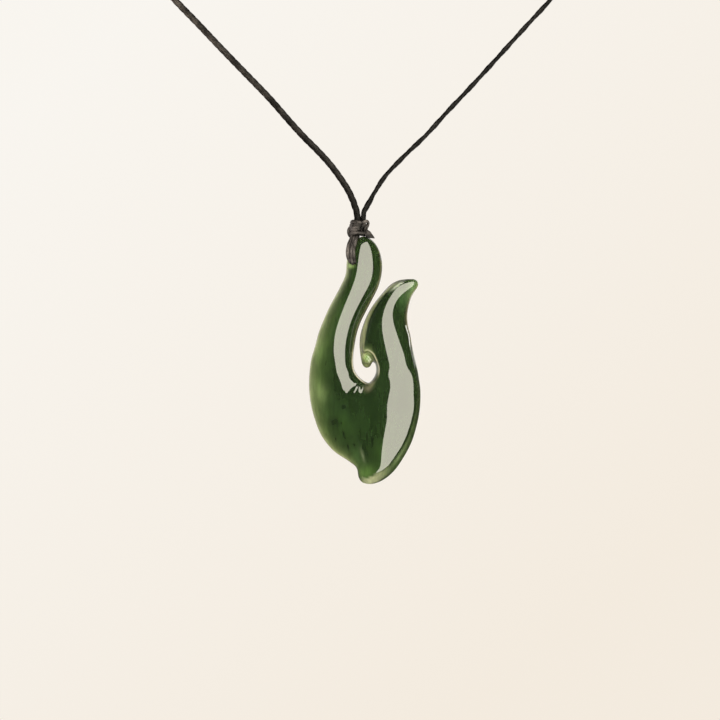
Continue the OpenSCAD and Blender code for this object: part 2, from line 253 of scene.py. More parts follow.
# Stone. Sections close to the CAD's: inner edge u, v, outer edge u, v and where between them they bend
SECTIONS = [
    [0.494, 1.003, 0.471, 1.002, 0.5], [0.534, 0.998, 0.435, 0.993, 0.5], [0.575, 0.984, 0.4, 0.977, 0.5],
    [0.61, 0.964, 0.368, 0.955, 0.5], [0.637, 0.937, 0.346, 0.929, 0.5], [0.655, 0.899, 0.336, 0.893, 0.5],
    [0.652, 0.85, 0.325, 0.846, 0.5], [0.622, 0.798, 0.278, 0.798, 0.5], [0.566, 0.747, 0.227, 0.755, 0.5],
    [0.512, 0.7, 0.18, 0.715, 0.5], [0.462, 0.654, 0.13, 0.664, 0.5], [0.429, 0.609, 0.087, 0.615, 0.5],
    [0.41, 0.563, 0.054, 0.559, 0.5], [0.399, 0.522, 0.02, 0.506, 0.5], [0.398, 0.486, 0.003, 0.449, 0.49],
    [0.408, 0.462, 0, 0.389, 0.48], [0.431, 0.443, 0.013, 0.332, 0.47], [0.458, 0.429, 0.045, 0.271, 0.46],
    [0.489, 0.418, 0.108, 0.198, 0.45], [0.521, 0.411, 0.215, 0.136, 0.44],
    [0.541, 0.411, 0.359, 0.091, 0.43], [0.55, 0.414, 0.425, 0.065, 0.43],
    [0.561, 0.419, 0.446, 0.026, 0.43], [0.571, 0.425, 0.485, 0.005, 0.44], [0.582, 0.432, 0.566, 0, 0.44],
    [0.592, 0.441, 0.664, 0.016, 0.44], [0.601, 0.455, 0.763, 0.053, 0.45],
    [0.601, 0.472, 0.853, 0.111, 0.46], [0.592, 0.487, 0.925, 0.175, 0.47],
    [0.573, 0.493, 0.972, 0.247, 0.48], [0.562, 0.487, 0.993, 0.3, 0.49], [0.547, 0.476, 1, 0.348, 0.5],
    [0.524, 0.471, 0.997, 0.389, 0.5], [0.5, 0.473, 0.987, 0.421, 0.5], [0.479, 0.484, 0.976, 0.453, 0.5],
    [0.468, 0.502, 0.961, 0.486, 0.5], [0.46, 0.526, 0.943, 0.52, 0.5], [0.453, 0.565, 0.924, 0.561, 0.5],
    [0.461, 0.605, 0.909, 0.603, 0.5], [0.485, 0.644, 0.889, 0.64, 0.5], [0.521, 0.684, 0.882, 0.68, 0.5],
    [0.575, 0.726, 0.894, 0.719, 0.5], [0.651, 0.77, 0.916, 0.753, 0.5], [0.727, 0.806, 0.943, 0.777, 0.5],
    [0.799, 0.824, 0.969, 0.794, 0.5], [0.862, 0.829, 0.98, 0.808, 0.5], [0.916, 0.83, 0.972, 0.821, 0.5],
    [0.938, 0.83, 0.956, 0.827, 0.5],
]
SECTION_STEPS, COLUMNS = 9, 96
# How far the sections round the curl bow upwards to pass above the notch
BOW, BOW_ROW, BOW_BEFORE, BOW_AFTER, BOW_AT = 0.11, 32.5, 3.4, 2.9, 0.2
# By section: share from the inner edge at which the dome is highest, its height and how round it is
CREST = [(0, 0.55), (3, 0.64), (6, 0.66), (9, 0.62), (12, 0.57), (14, 0.5), (16, 0.36), (18, 0.22),
         (20, 0.16), (24, 0.14), (26, 0.16), (28, 0.22), (30, 0.3), (33, 0.35), (38, 0.36), (42, 0.33),
         (47, 0.4)]
RISE = [(0, 1.15), (6, 1.12), (12, 1.05), (16, 0.95), (18, 0.88), (24, 0.82), (30, 0.9), (36, 1.02),
        (40, 1.1), (43, 1.4), (47, 1.4)]
ROUNDNESS = [(0, 0.5), (8, 0.5), (14, 0.5), (17, 0.4), (20, 0.33), (28, 0.33), (32, 0.36), (36, 0.4),
             (44, 0.5), (47, 0.5)]
# The dome is the sheet's height to this power, times a ratio that is evened out over this reach in mm
EDGE_POWER, EVEN_OUT = 0.45, 1.2
# Corners of the triangles that a cell of the plan is cut into, two for each of its diagonals
CELL_TRIANGLES = [((0, 0), (1, 0), (1, 1)), ((0, 0), (1, 1), (0, 1)),
                  ((0, 0), (1, 0), (0, 1)), ((1, 0), (1, 1), (0, 1))]


def stone_rows():
    """The sections with all the rows between them, and how far each bows."""
    rows = np.array(SECTIONS)
    off = np.arange(len(rows)) - BOW_ROW
    bow = BOW * np.exp(-(off / np.where(off < 0, BOW_BEFORE, BOW_AFTER)) ** 2)
    return blended(np.column_stack([rows, bow]), SECTION_STEPS)


def by_row(pairs, count):
    """Smooth values for every blended row from (section, value) pairs."""
    at, value = zip(*pairs)
    y = np.interp(np.arange(count) / SECTION_STEPS, at, value)
    reach = 2 * SECTION_STEPS
    kernel = np.hanning(2 * reach + 1)
    return np.convolve(np.pad(y, reach, mode="edge"), kernel / kernel.sum(), mode="valid")


def stone_plan(rows, share):
    """x, z of the points at a share of the way from each section's inner to its outer edge."""
    inner, outer = rows[:, None, 0:2], rows[:, None, 2:4]
    middle = inner + (outer - inner) * rows[:, None, 4:5]
    elbow = inner + (middle - inner) * BOW_AT + np.stack([np.zeros(len(rows)), rows[:, 5]], axis=1)[:, None]
    q = 2 * np.broadcast_to(share, (len(rows), share.shape[-1]))[..., None]
    low = (1 - q) ** 2 * inner + 2 * q * (1 - q) * elbow + q * q * middle
    high = middle + (outer - middle) * (q - 1)
    p = np.where(q >= 1, high, low)
    x, z = HOLE_X + (p[..., 0] - HOLE_U) * STONE_W, HOLE_Z + (p[..., 1] - HOLE_V) * STONE_H
    return np.stack([x, z], axis=-1)


def laplacian(p):
    """The plan mesh's stiffness, as a block for each row and one for each step to the next row, and the
    area that belongs to each point."""
    m, n = p.shape[:2]
    own, step, area = np.zeros((m, n, n)), np.zeros((m - 1, n, n)), np.zeros((m, n))
    i, j = (x.ravel() for x in np.meshgrid(np.arange(m - 1), np.arange(n - 1), indexing="ij"))
    for corners in CELL_TRIANGLES:
        at = [(i + a, j + b) for a, b in corners]
        x = [p[a] for a in at]
        e, f = x[1] - x[0], x[2] - x[0]
        size = np.maximum(np.abs(e[:, 0] * f[:, 1] - e[:, 1] * f[:, 0]) / 2, 1e-7)
        for k in range(3):
            a, b = at[(k + 1) % 3], at[(k + 2) % 3]
            w = ((x[(k + 1) % 3] - x[k]) * (x[(k + 2) % 3] - x[k])).sum(1) / (8 * size)
            np.add.at(own, (a[0], a[1], a[1]), w)
            np.add.at(own, (b[0], b[1], b[1]), w)
            same, down, up = a[0] == b[0], a[0] < b[0], a[0] > b[0]
            np.add.at(own, (a[0][same], a[1][same], b[1][same]), -w[same])
            np.add.at(own, (a[0][same], b[1][same], a[1][same]), -w[same])
            np.add.at(step, (a[0][down], a[1][down], b[1][down]), -w[down])
            np.add.at(step, (b[0][up], b[1][up], a[1][up]), -w[up])
            np.add.at(area, at[k], size / 6)
    return own, step, area


def solved(own, step, load):
    """Solves the block-tridiagonal system, row by row and back."""
    inverse, right = [], []
    for r in range(len(own)):
        d, y = own[r], load[r]
        if r:
            k = step[r - 1].T @ inverse[-1]
            d, y = d - k @ step[r - 1], y - k @ right[-1]
        inverse.append(np.linalg.inv(d))
        right.append(y)
    out = np.zeros_like(load)
    out[-1] = inverse[-1] @ right[-1]
    for r in range(len(own) - 2, -1, -1):
        out[r] = inverse[r] @ (right[r] - step[r] @ out[r + 1])
    return out


def membrane(p):
    """A sheet held at the plan's edges and pushed out evenly."""
    own, step, area = laplacian(p)
    u = np.zeros(area.shape)
    u[1:-1, 1:-1] = solved(own[1:-1, 1:-1, 1:-1], step[1:-1, 1:-1, 1:-1], area[1:-1, 1:-1])
    return np.maximum(u, 0)


def evened(p, field, reach):
    """A field over the plan, evened out over a reach in mm."""
    own, step, area = laplacian(p)
    own = own * reach ** 2
    n = np.arange(p.shape[1])
    own[:, n, n] += area
    return solved(own, step * reach ** 2, area * field)


def stone_heights():
    """Plan points and the height of the dome over them, both sides alike before the carving."""
    rows = stone_rows()
    share = (1 - np.cos(np.linspace(0, math.pi, COLUMNS + 1))) / 2
    u = membrane(stone_plan(rows, share))
    crest, rise, power = (by_row(t, len(rows))[:, None] for t in (CREST, RISE, ROUNDNESS))
    pull = crest / (1 - crest)
    p = stone_plan(rows, share * pull / (1 - share + share * pull))
    base = np.maximum(membrane(p), 1e-9) ** EDGE_POWER
    ratio = rise * u ** power / base
    ratio[:, 0], ratio[:, -1] = ratio[:, 1], ratio[:, -2]
    ratio[0], ratio[-1] = ratio[1], ratio[-2]
    h = evened(p, ratio, EVEN_OUT) * base
    h[0] = h[-1] = h[:, 0] = h[:, -1] = 0
    return p, h


def line_distance(p, line, sided=False):
    """How far each plan point is from a line. If sided, above 0 on the left of one who goes along it."""
    best, side = np.full(p.shape[:-1], np.inf), np.ones(p.shape[:-1])
    for a, b in zip(line[:-1], line[1:]):
        d = b - a
        t = np.clip(((p - a) @ d) / max(d @ d, 1e-12), 0, 1)
        r = np.linalg.norm(p - a - t[..., None] * d, axis=-1)
        nearer = r < best
        best = np.where(nearer, r, best)
        if sided:
            side = np.where(nearer, np.sign(d[0] * (p[..., 1] - a[1]) - d[1] * (p[..., 0] - a[0])), side)
    return best * side


def smooth_step(x, low, high):
    """0 at low and 1 at high, without a corner at either."""
    t = np.clip((x - low) / (high - low), 0, 1)
    return t * t * (3 - 2 * t)


def spell(x, start, full, fading, gone):
    """1 between full and fading and 0 before start and after gone."""
    return smooth_step(x, start, full) * (1 - smooth_step(x, fading, gone))


def looked_up(section, pairs):
    return np.interp(section, *zip(*pairs))


def eased(p, h, middle, size, reach):
    """The height evened out round a place, but not along the inner edge."""
    off = np.linalg.norm(p - middle, axis=-1)
    share = np.exp(-(off / size) ** 2) * smooth_step(line_distance(p, p[:, 0]), 0.3, 1.8)
    return h + share * (evened(p, h, reach) - h)


# The ridge that the carver left, as pixels of the photograph. It runs from the point of the arm down its
# inner side, hooks over the bulb of the curl and goes on round the notch.
INNER_RIDGE = [(404, 281.6), (392, 286.8), (383, 294.5), (377.5, 301.5), (371.5, 312), (367.6, 322),
               (365, 332), (363.9, 340), (363.3, 346), (364, 350.6), (368.2, 350.2), (373, 353.5),
               (376.5, 360), (378.7, 366.5), (379, 371), (378, 377), (375.5, 382), (371.8, 386.8),
               (368.2, 389.3)]
# The bulb of the curl, its middle as a pixel, and the hole as it shows
BULB, BULB_R = (367.5, 358), 1.45
HOLE_SEEN, HOLE_SEEN_R = from_photo(352.3, 260.6), 0.88
# Small flats that the carver left under the notch: middle as a pixel, half sizes across and along, how far
# it is turned and how much steeper it falls to the right
FLATS = [((356.7, 387.8), 0.9, 4.6, -28, 0.6), ((361.3, 388), 2.7, 4, -20, 0.4),
         ((353, 389), 2.5, 5.5, -40, -0.36)]
# Width in mm, by section, of the bevel along the foot and up the outer side of the arm
BEVEL = [(22, 0.05), (23, 1.1), (24.2, 2.2), (25.2, 2.2), (26, 1.9), (27, 1.5), (28, 1.3), (30, 1),
         (35, 0.5), (36.5, 0.5), (37.3, 0.85), (39.5, 0.85), (41, 0.6), (43, 0.05)]


def cut_in(p):
    """Distances that the carving goes by: into the inner ridge and from the outer and inner edges."""
    ridge = blended([from_photo(*q) for q in INNER_RIDGE], 6)
    return -line_distance(p, ridge, sided=True), line_distance(p, p[:, -1]), line_distance(p, p[:, 0])


# By section: how high the bevel ends at the rim as a share of its top, how it bends and how blunt its edge is
BEVEL_FOOT = [(26, 0), (30, 0.22)]
BEVEL_BEND = [(34, 1), (37, 0.75)]
BEVEL_BLUNT = [(25, 0.02), (28, 0.04), (31, 0.02)]
# Sections between which the arm and the curl come in and fade
ON_ARM, ROUND_CURL = (25.5, 27.5, 45.5, 47), (28, 29.5, 36.5, 38.5)
# How far past the inner ridge the face falls, the ridge's height over the face and its half width
FALL_REACH, RIDGE_PROUD, RIDGE_HALF = 1.6, 0.09, 0.2
# Share of the dome's height that the fall and the bevel always leave
FALL_LEAVES, BEVEL_LEAVES = 0.45, 0.12


def carved(p, dome, into, rim_out, rim_in):
    """The front's height: the dome with its bevels, the ridge round the notch and the bulb of the curl."""
    section = (np.arange(p.shape[0]) / SECTION_STEPS)[:, None]
    h = dome.copy()
    for middle, wide, tall, turn, fall in FLATS:
        off = (p - from_photo(*middle)) / PIXEL
        a = math.radians(turn)
        u = (off[..., 0] * math.cos(a) + off[..., 1] * math.sin(a)) / wide
        v = (-off[..., 0] * math.sin(a) + off[..., 1] * math.cos(a)) / tall
        h -= fall * u * wide * PIXEL * np.exp(-(u * u) ** 1.5 - (v * v) ** 1.5)
    on_arm, round_curl = spell(section, *ON_ARM), spell(section, *ROUND_CURL)
    steep = 0.75 + 0.5 * round_curl
    drop = np.clip(into, 0, FALL_REACH) * steep * on_arm
    h = np.maximum(h - drop, dome * FALL_LEAVES)
    # the rounded ridge stands a little proud of the face
    h += RIDGE_PROUD * np.exp(-(into / RIDGE_HALF) ** 2) * on_arm * smooth_step(rim_in, 0.15, 0.6)
    bulb = np.linalg.norm(p - from_photo(*BULB), axis=-1) / BULB_R
    crown = 1.0 + 0.8 * np.sqrt(np.clip(1 - bulb ** 2, 0, 1))
    lumps = 0.05 * np.sin(p[..., 0] * 9 + 1) * np.sin(p[..., 1] * 7)
    on_bulb = (bulb < 1) & (round_curl > 0) & (into > 0.1)
    h = np.where(on_bulb, np.minimum(np.maximum(h, (crown + lumps) * round_curl), dome * 0.93), h)
    # bevel along the foot and up the outer side of the arm: a chord under the dome's shoulder
    width = looked_up(section, BEVEL)
    share = rim_out / width
    shoulder = np.array([np.interp(w, r[::-1], d[::-1]) for w, r, d in
                         zip(width[:, 0], rim_out[:, COLUMNS // 2:], dome[:, COLUMNS // 2:])])[:, None]
    far_half = np.arange(p.shape[1])[None] > COLUMNS // 2
    foot, bend, blunt = (looked_up(section, t) for t in (BEVEL_FOOT, BEVEL_BEND, BEVEL_BLUNT))
    chord = shoulder * (foot + (1 - foot) * share ** bend)
    soft = h - blunt * np.logaddexp(0, (h - chord) / blunt)
    return np.maximum(np.where(far_half & (share < 1.8), soft, h), dome * BEVEL_LEAVES)


# Where the polish turns through a known slope. The photograph shows it by the edges of the two long pale
# reflections. The long light that makes them here is seen from 9 to 52 degrees to the right of the camera.
# Each line has the direction that the face mirrors there, how firmly it holds and its pixels.
TURNS = [
    (9, 1, [(360.6, 246), (358.9, 257), (356.9, 269), (354.5, 280), (349.1, 295), (343.7, 307),
            (338.8, 321), (335.1, 333), (333.9, 345), (334.1, 357), (336.1, 370), (338.8, 380),
            (341.7, 387), (345.7, 391.9), (349.2, 388.9), (352.4, 386)]),
    (52, 1, [(369.5, 252), (372.7, 261), (372.9, 269), (370.2, 279), (365.8, 289), (360.1, 301),
             (354.5, 313), (349.8, 326), (346.6, 338), (344.7, 350), (344.9, 360), (346.6, 370),
             (349.1, 378), (351, 382.4)]),
    (9, 1, [(391.6, 296.8), (387.3, 302.6), (384.9, 307.7), (382.2, 318), (382.5, 330), (384.7, 343),
            (387.6, 357), (389.3, 370), (389.8, 380), (389.1, 392), (387.9, 404), (385.4, 416),
            (383.5, 429), (382.2, 441), (381.5, 453), (380.7, 463), (380.3, 468), (380.2, 471)]),
    (52, 1, [(400.5, 294.8), (396.6, 299.5), (393.3, 306), (392.8, 318), (394, 328), (398.2, 340),
             (404.3, 355), (409.2, 370), (412.9, 382), (414.1, 394), (413.6, 407), (411.7, 419), (408, 431),
             (402.6, 443), (396.2, 454)]),
    (27, 0.5, [(366, 262), (352, 302), (340.5, 335), (339, 355), (343, 375), (389, 318), (388, 330),
               (396, 360), (400, 380), (401, 400), (398, 425), (393, 440), (388, 455)]),
    (9, 0.4, [(398.4, 288.6), (405.3, 283.9), (411, 282)]), (52, 0.4, [(407.3, 290), (411.5, 288.2)]),
    (2, 1, [(383.5, 372), (384, 379), (384, 386), (383.5, 394), (382.5, 402)]),
    (16, 1, [(394.5, 372), (395, 379), (395, 386), (394.5, 394), (393.5, 402)]),
    (68, 1.2, [(348.6, 366), (350.2, 372), (352.2, 377), (354.6, 381), (356.6, 383.2)]),
    (1, 0.6, [(354.5, 389), (357, 392.5), (362, 393), (367, 392.5), (350, 394.5), (370.5, 390)]),
    (2, 1, [(377.5, 463), (377, 467), (376, 470.5)]),
    (1, 0.6, [(352, 404), (360, 404), (370, 404), (365, 415), (365, 428), (375, 430), (360, 440),
              (370, 455), (345, 416), (355, 425), (350, 398), (365, 397), (378, 400), (380, 385),
              (374, 415), (372, 442), (354, 412), (360, 452)]),
    (-9, 0.4, [(378, 345), (376, 330), (330, 430), (338, 445), (325, 400), (322, 380), (345, 445),
               (340, 410)]),
]
# Reach and spacing of the bumps, how stiff they are, and where they may go: all over, or round two places
BUMPS = [(3.4, 2.6, 0.5, [((360, 360), 400)]), (1.5, 1.2, 0.5, [((352, 385), 22), ((388, 382), 26)])]
FIT_ROUNDS = 4


def slopes(p, f):
    """How fast a field falls to the right and upwards over the plan."""
    fi, fj = np.gradient(f)
    xi, xj = np.gradient(p[..., 0])
    zi, zj = np.gradient(p[..., 1])
    turn = xi * zj - xj * zi
    turn = np.where(np.abs(turn) < 1e-9, 1e-9, turn)
    return -(fi * zj - fj * zi) / turn, -(xi * fj - xj * fi) / turn


def polished(p, h):
    """The dome, scaled by a gentle field of bumps so that its face turns as the reflections show."""
    flat = p.reshape(-1, 2)
    low, high = flat.min(0), flat.max(0)
    centres, reach, stiff = [], [], []
    for wide, step, hold, places in BUMPS:
        for x in np.arange(low[0], high[0] + step, step):
            for z in np.arange(low[1], high[1] + step, step):
                near = any(np.hypot(*(from_photo(*q) - (x, z))) < r * PIXEL for q, r in places)
                if near and np.hypot(*(flat - (x, z)).T).min() < step * 0.9:
                    centres.append((x, z))
                    reach.append(wide)
                    stiff.append(hold)
    centres, reach = np.array(centres), np.array(reach)
    bumps = np.exp(-((flat[:, None] - centres) ** 2).sum(2) / (2 * reach ** 2))
    marks = [(math.tan(math.radians(angle)), hold, from_photo(*q)) for angle, hold, qs in TURNS for q in qs]
    nearest = np.array([np.hypot(*(flat - at).T).argmin() for _, _, at in marks])
    fall, base = slopes(p, h)[0].ravel()[nearest], h.ravel()[nearest]
    weight = np.array([w for _, w, _ in marks])
    rows = fall[:, None] * bumps[nearest] + (base[:, None] * bumps[nearest]
                                             * (flat[nearest][:, None, 0] - centres[:, 0]) / reach ** 2)
    t = np.array([t for t, _, _ in marks])
    scale = np.ones(len(flat))
    for _ in range(FIT_ROUNDS):
        up = slopes(p, h * scale.reshape(h.shape))[1].ravel()[nearest]
        # the fall to the right that mirrors that direction, where the face also falls upwards or downwards
        wanted = (-1 + np.sqrt(1 + t * t * np.clip(1 - up * up, 0, 1))) / t
        a = np.vstack([weight[:, None] * rows, np.diag(stiff)])
        share = np.linalg.lstsq(a, np.append(weight * (wanted - fall), np.zeros(len(centres))), rcond=None)[0]
        scale = 1 + bumps @ share
    return h * scale.reshape(h.shape)


# Right of the curl the dome is eased first: middle as a pixel, size and reach
EASED = ((388, 373), 6.0, 2.0)
plan_points, dome = stone_heights()
dome = polished(plan_points, eased(plan_points, dome, from_photo(*EASED[0]), *EASED[1:]))
into_ridge, from_outer, from_inner = cut_in(plan_points)
front = carved(plan_points, dome, into_ridge, from_outer, from_inner)
back = dome.copy()


def stone_object():
    """The front and the back over the plan, joined along its edge and round the hole."""
    m, n = plan_points.shape[:2]
    x, z = plan_points[..., 0], plan_points[..., 1]
    hole = np.hypot(x - HOLE_SEEN[0], z - HOLE_SEEN[1])
    centres = (plan_points[:-1, :-1] + plan_points[1:, :-1] + plan_points[:-1, 1:] + plan_points[1:, 1:]) / 4
    cut = np.linalg.norm(centres - HOLE_SEEN, axis=-1) < HOLE_SEEN_R
    px, pz = x.copy(), z.copy()
    # points of the faces that stay, on the rim of the hole, go onto its circle
    stays, goes = np.zeros((m, n), bool), np.zeros((m, n), bool)
    for a in (0, 1):
        for b in (0, 1):
            stays[a:m - 1 + a, b:n - 1 + b] |= ~cut
            goes[a:m - 1 + a, b:n - 1 + b] |= cut
    rim = stays & goes
    scale = HOLE_SEEN_R / np.maximum(hole, 1e-6)
    px[rim] = HOLE_SEEN[0] + (x[rim] - HOLE_SEEN[0]) * scale[rim]
    pz[rim] = HOLE_SEEN[1] + (z[rim] - HOLE_SEEN[1]) * scale[rim]
    verts = np.concatenate([np.stack([px, y, pz], -1).reshape(-1, 3) for y in (-front, back)])
    edge = np.zeros((m, n), bool)
    edge[0] = edge[-1] = edge[:, 0] = edge[:, -1] = True
    index = np.arange(m * n).reshape(m, n)
    behind = np.where(edge, index, index + m * n)
    faces = []
    for i in range(m - 1):
        for j in range(n - 1):
            if not cut[i, j]:
                faces.append((index[i, j], index[i + 1, j], index[i + 1, j + 1], index[i, j + 1]))
                faces.append((behind[i, j], behind[i, j + 1], behind[i + 1, j + 1], behind[i + 1, j]))
            else:
                for (a, b), (c, d), (oi, oj) in (
                    ((i, j), (i + 1, j), (i, j - 1)), ((i + 1, j + 1), (i, j + 1), (i, j + 1)),
                    ((i, j + 1), (i, j), (i - 1, j)), ((i + 1, j), (i + 1, j + 1), (i + 1, j)),
                ):
                    if not cut[oi, oj]:
                        faces.append((index[a, b], index[c, d], behind[c, d], behind[a, b]))
    obj = mesh_object("stone_carved", verts, faces)
    section = np.repeat(np.arange(m)[:, None] / SECTION_STEPS, n, axis=1)
    fields = {"into": into_ridge, "outer": from_outer, "inner": from_inner, "section": section}
    for name, field in fields.items():
        layer = obj.data.attributes.new(name, "FLOAT", "POINT")
        layer.data.foreach_set("value", np.tile(field.ravel(), 2).astype(np.float32))
    outward(obj, clean=True)
    return obj


stone = stone_object()


# Knot and hanging loop, of the same flat cord. Each row of a strand is the pixel it shows at, how far it
# stands in front of the middle plane, and its half width and half thickness, all but the pixels in mm.
KNOT_MIDDLE = (358, 228.5)
WRAP_TOP = [(351.6, 222.2, 0, .50, .33), (353.3, 222.0, .95, .50, .33), (357, 222.6, 1.35, .48, .3),
            (361, 223.4, 1.25, .42, .3), (364.6, 223.6, .5, .4, .3), (363, 223, -.8, .45, .3),
            (357.5, 222.4, -1.2, .5, .3), (352.6, 222.2, -.8, .5, .33)]
WRAP_BROAD = [(350.4, 228, .1, 1.0, .3), (352.4, 227.8, 1.25, 1.02, .28), (356, 227.4, 1.72, .98, .26),
              (360, 227, 1.62, .75, .26), (363, 226.8, 1.15, .6, .28), (365.6, 226.8, .2, .6, .3),
              (364, 227.4, -1, .8, .3), (357.5, 228, -1.6, 1, .3), (352, 228.4, -1.2, 1, .3)]
WRAP_LOW = [(349.7, 233.8, 0, .42, .32), (352.5, 233.8, 1.2, .44, .3), (357, 233, 1.65, .42, .3),
            (362, 233.2, 1.4, .38, .3), (366, 232.8, .5, .38, .3), (364, 232.9, -.9, .38, .3),
            (357, 233, -1.5, .42, .3), (351.5, 233.8, -1, .45, .3)]
SIDE_LEFT = [(351.8, 226.3, -.3, .36, .34), (349.3, 228.6, .1, .42, .36), (348.6, 231.2, .25, .44, .36),
             (348.8, 233.8, .25, .42, .34), (350.2, 236.3, .3, .38, .32), (352.6, 238, .4, .32, .3)]
SIDE_RIGHT = [(362.4, 224.8, 1.1, .3, .28), (363.4, 222.7, 1.4, .36, .3), (365.2, 221.6, 1.25, .38, .32),
              (367.1, 221.5, .85, .38, .34), (368.1, 223.1, .6, .36, .34), (367.7, 225.3, .65, .36, .34),
              (366.8, 227.3, .8, .36, .32), (366.3, 229.4, .85, .36, .3), (366.4, 231.8, .8, .34, .3)]
CROSSINGS = [
    [(360.9, 231.4, 1.3, .3, .26), (361.6, 228.2, 1.9, .34, .26), (363.2, 225.6, 1.8, .34, .26),
     (365.4, 224.2, 1.2, .3, .26)],
    [(364.2, 231.6, 1, .28, .26), (364.7, 228.6, 1.5, .3, .26), (365.9, 226.2, 1.2, .28, .26)],
]
TAIL = [(363.4, 231.6, .7, .35, .26), (366.3, 232.3, .95, .64, .24), (368.5, 234.5, 1.05, .84, .2),
        (370.5, 235.8, 1.0, .66, .17), (372.4, 236.9, .92, .38, .13), (373.8, 237.8, .86, .2, .09),
        (374.7, 238.5, .8, .03, .03)]
# Strands from under the knot that go behind the stone's head
BEHIND = [[(358.3, 232, -.5, .42, .34), (358, 235, -1.3, .42, .34), (357.6, 239, -2.2, .42, .3)],
          [(366.6, 232.4, -.4, .4, .3), (367.3, 235.2, -.8, .42, .3), (368.3, 238, -1.4, .3, .24)],
          [(357.4, 233.6, -.8, .34, .3), (361.4, 234.2, -1.1, .4, .3), (365.8, 234.5, -1.1, .4, .28)]]
# From top to bottom: middle, half width and half depth
CORE = [(358.2, 219.5, .5, .5), (358.2, 221.5, 1.2, .8), (357.8, 225, 1.55, 1.15), (357.8, 229, 1.7, 1.25),
        (357.2, 231.4, 1.4, 1.15), (355.2, 234, .8, .75), (354.4, 236.4, .45, .4)]
# The loop's three strands: pixel, half width and half thickness, as far as the hole
LOOP = [
    [(352.2, 234.5, .36, .3), (350.9, 238.6, .38, .28), (348.8, 244.5, .42, .26), (347.7, 249.5, .44, .25),
     (347.6, 254, .44, .26), (348.3, 258, .42, .3), (349.9, 261.6, .36, .38), (351.0, 261.6, .28, .46)],
    [(354.6, 234.5, .42, .32), (353.2, 240, .44, .28), (351.5, 247, .47, .25), (350.9, 253, .47, .26),
     (351.4, 258, .46, .32), (352.5, 262.9, .42, .46), (352.9, 261.6, .28, .7)],
    [(357.8, 234.5, .46, .32), (356, 240, .44, .28), (354.2, 247, .4, .25), (353.6, 253, .38, .26),
     (353.9, 258, .42, .32), (354.8, 262, .44, .42), (354.5, 261.4, .3, .46)],
]
STRAND_STEP, STRAND_SIDES, STRAND_BLEND = 0.13, 22, 16


def filaments(seed):
    """Relief of the fine threads that run along a strand."""
    def relief(at, angle):
        return (1 + 0.055 * np.cos(9 * angle + 1.6 * np.sin(at * 1.1 + seed) + seed)
                + 0.03 * np.cos(14 * angle - 0.9 * at + 2 * seed) + 0.02 * np.sin(at * 2.3 + 3 * seed))
    return relief


def place(x, y, forward):
    """A point in mm from its pixel and how far it stands in front of the middle plane."""
    flat = from_photo(x, y)
    return np.array([flat[0], -forward, flat[1]])


def strand(rows, seed, closed=False, out=None):
    """A flat strand of the knot, its broad face turned away from the knot's middle unless out is given."""
    rows = np.array([[*place(*r[:3]), *r[3:]] for r in rows])
    if closed:
        line = blended(np.vstack([rows[-2:], rows, rows[:3]]), STRAND_BLEND)
        line = line[2 * STRAND_BLEND:(2 + len(rows)) * STRAND_BLEND + 1]
        line, _ = evenly(line, STRAND_STEP)
        line = line[:-1]
    else:
        line, _ = evenly(blended(rows, STRAND_BLEND), STRAND_STEP)
    points = line[:, :3]
    if out is None:
        middle = place(*KNOT_MIDDLE, 0)
        out = (points - middle) * (1, 1.2, 0.25) + (0, -0.05, 0)
    return swept(points, out, line[:, 3], line[:, 4], STRAND_SIDES, closed, 0.85, filaments(seed), 3 * seed)


core = np.array([[*place(x, y, 0), wide, deep] for x, y, wide, deep in CORE])
core, _ = evenly(blended(core, 8), 0.2)
knot = mesh_object("knot_wraps", *joined([
    strand(WRAP_TOP, 1, True), strand(WRAP_BROAD, 2, True), strand(WRAP_LOW, 3, True),
    strand(SIDE_LEFT, 4), strand(SIDE_RIGHT, 5),
    *(strand(rows, 6 + k) for k, rows in enumerate(CROSSINGS + BEHIND)),
    strand(TAIL, 14, out=np.array([0.12, -1.0, 0.3])),
    swept(core[:, :3], np.array([0, -1.0, 0]), core[:, 3], core[:, 4], 24, relief=filaments(8)),
]))
outward(knot)


def highest_front(x, z, reach):
    """The stone's greatest height in front within reach of a place."""
    near = np.hypot(plan_points[..., 0] - x, plan_points[..., 1] - z) < reach
    return front[near].max() if near.any() else 0.0


def loop_strand(rows, seed):
    """A strand that runs down the stone's front, through the hole and up its back."""
    front_rows = []
    for k, (x, y, wide, thick) in enumerate(rows):
        px, pz = from_photo(x, y)
        over = highest_front(px, pz, wide + 0.1) + thick + 0.14
        rise = np.interp(y, [234.5, 238.5, 243, 250], [0.75, 1.3, 2.2, 3.0])
        last = k == len(rows) - 1
        front_rows.append([px, -(1.6 if last else max(over, rise)), pz, wide, thick])
    back_rows = [[r[0], -r[1], *r[2:]] for r in front_rows[::-1]]
    middle = [(front_rows[-1][0], 0, front_rows[-1][2], *front_rows[-1][3:])]
    line, _ = evenly(blended(np.array(front_rows + middle + back_rows), STRAND_BLEND), STRAND_STEP)
    points = line[:, :3]
    out = np.cross(np.array([1.0, 0, 0]), along(points))
    wide, thick = line[:, 3] * 0.92, line[:, 4] * 1.12
    return swept(points, out, wide, thick, STRAND_SIDES, relief=filaments(seed), start=5 * seed)


loop = mesh_object("loop_strands", *joined([loop_strand(rows, 11 + k) for k, rows in enumerate(LOOP)]))
outward(loop)


